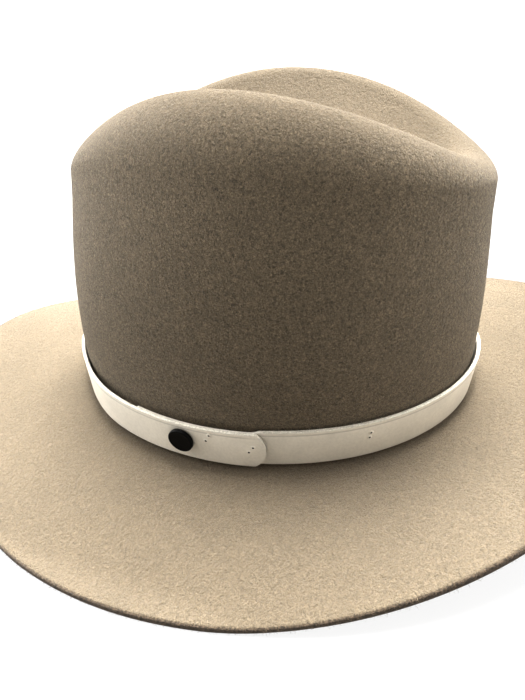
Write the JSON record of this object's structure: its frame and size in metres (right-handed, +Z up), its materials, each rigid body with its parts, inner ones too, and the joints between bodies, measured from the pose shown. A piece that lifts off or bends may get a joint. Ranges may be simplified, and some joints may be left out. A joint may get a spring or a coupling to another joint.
{
  "type": "wide-brim fedora hat",
  "caption": "Wide-brim felt fedora with a teardrop dent in the crown and a snap-fastened leather band strap.",
  "frame": {"origin": "centre of the bounding box's footprint, at the plane the brim rests on", "axes": "-Y towards the front of the hat, +X towards the wearer's left, +Z up"},
  "size_m": [0.3084, 0.3576, 0.1568],
  "materials": {
    "felt": "matte brushed wool felt, beige brown",
    "leather": "smooth pale cream leather with raw cut edges",
    "stud": "black lacquered snap cap"
  },
  "bodies": {
    "root": {"felt_body": "felt", "band_strap": "leather", "snap_stud": "stud"}
  },
  "joints": []
}
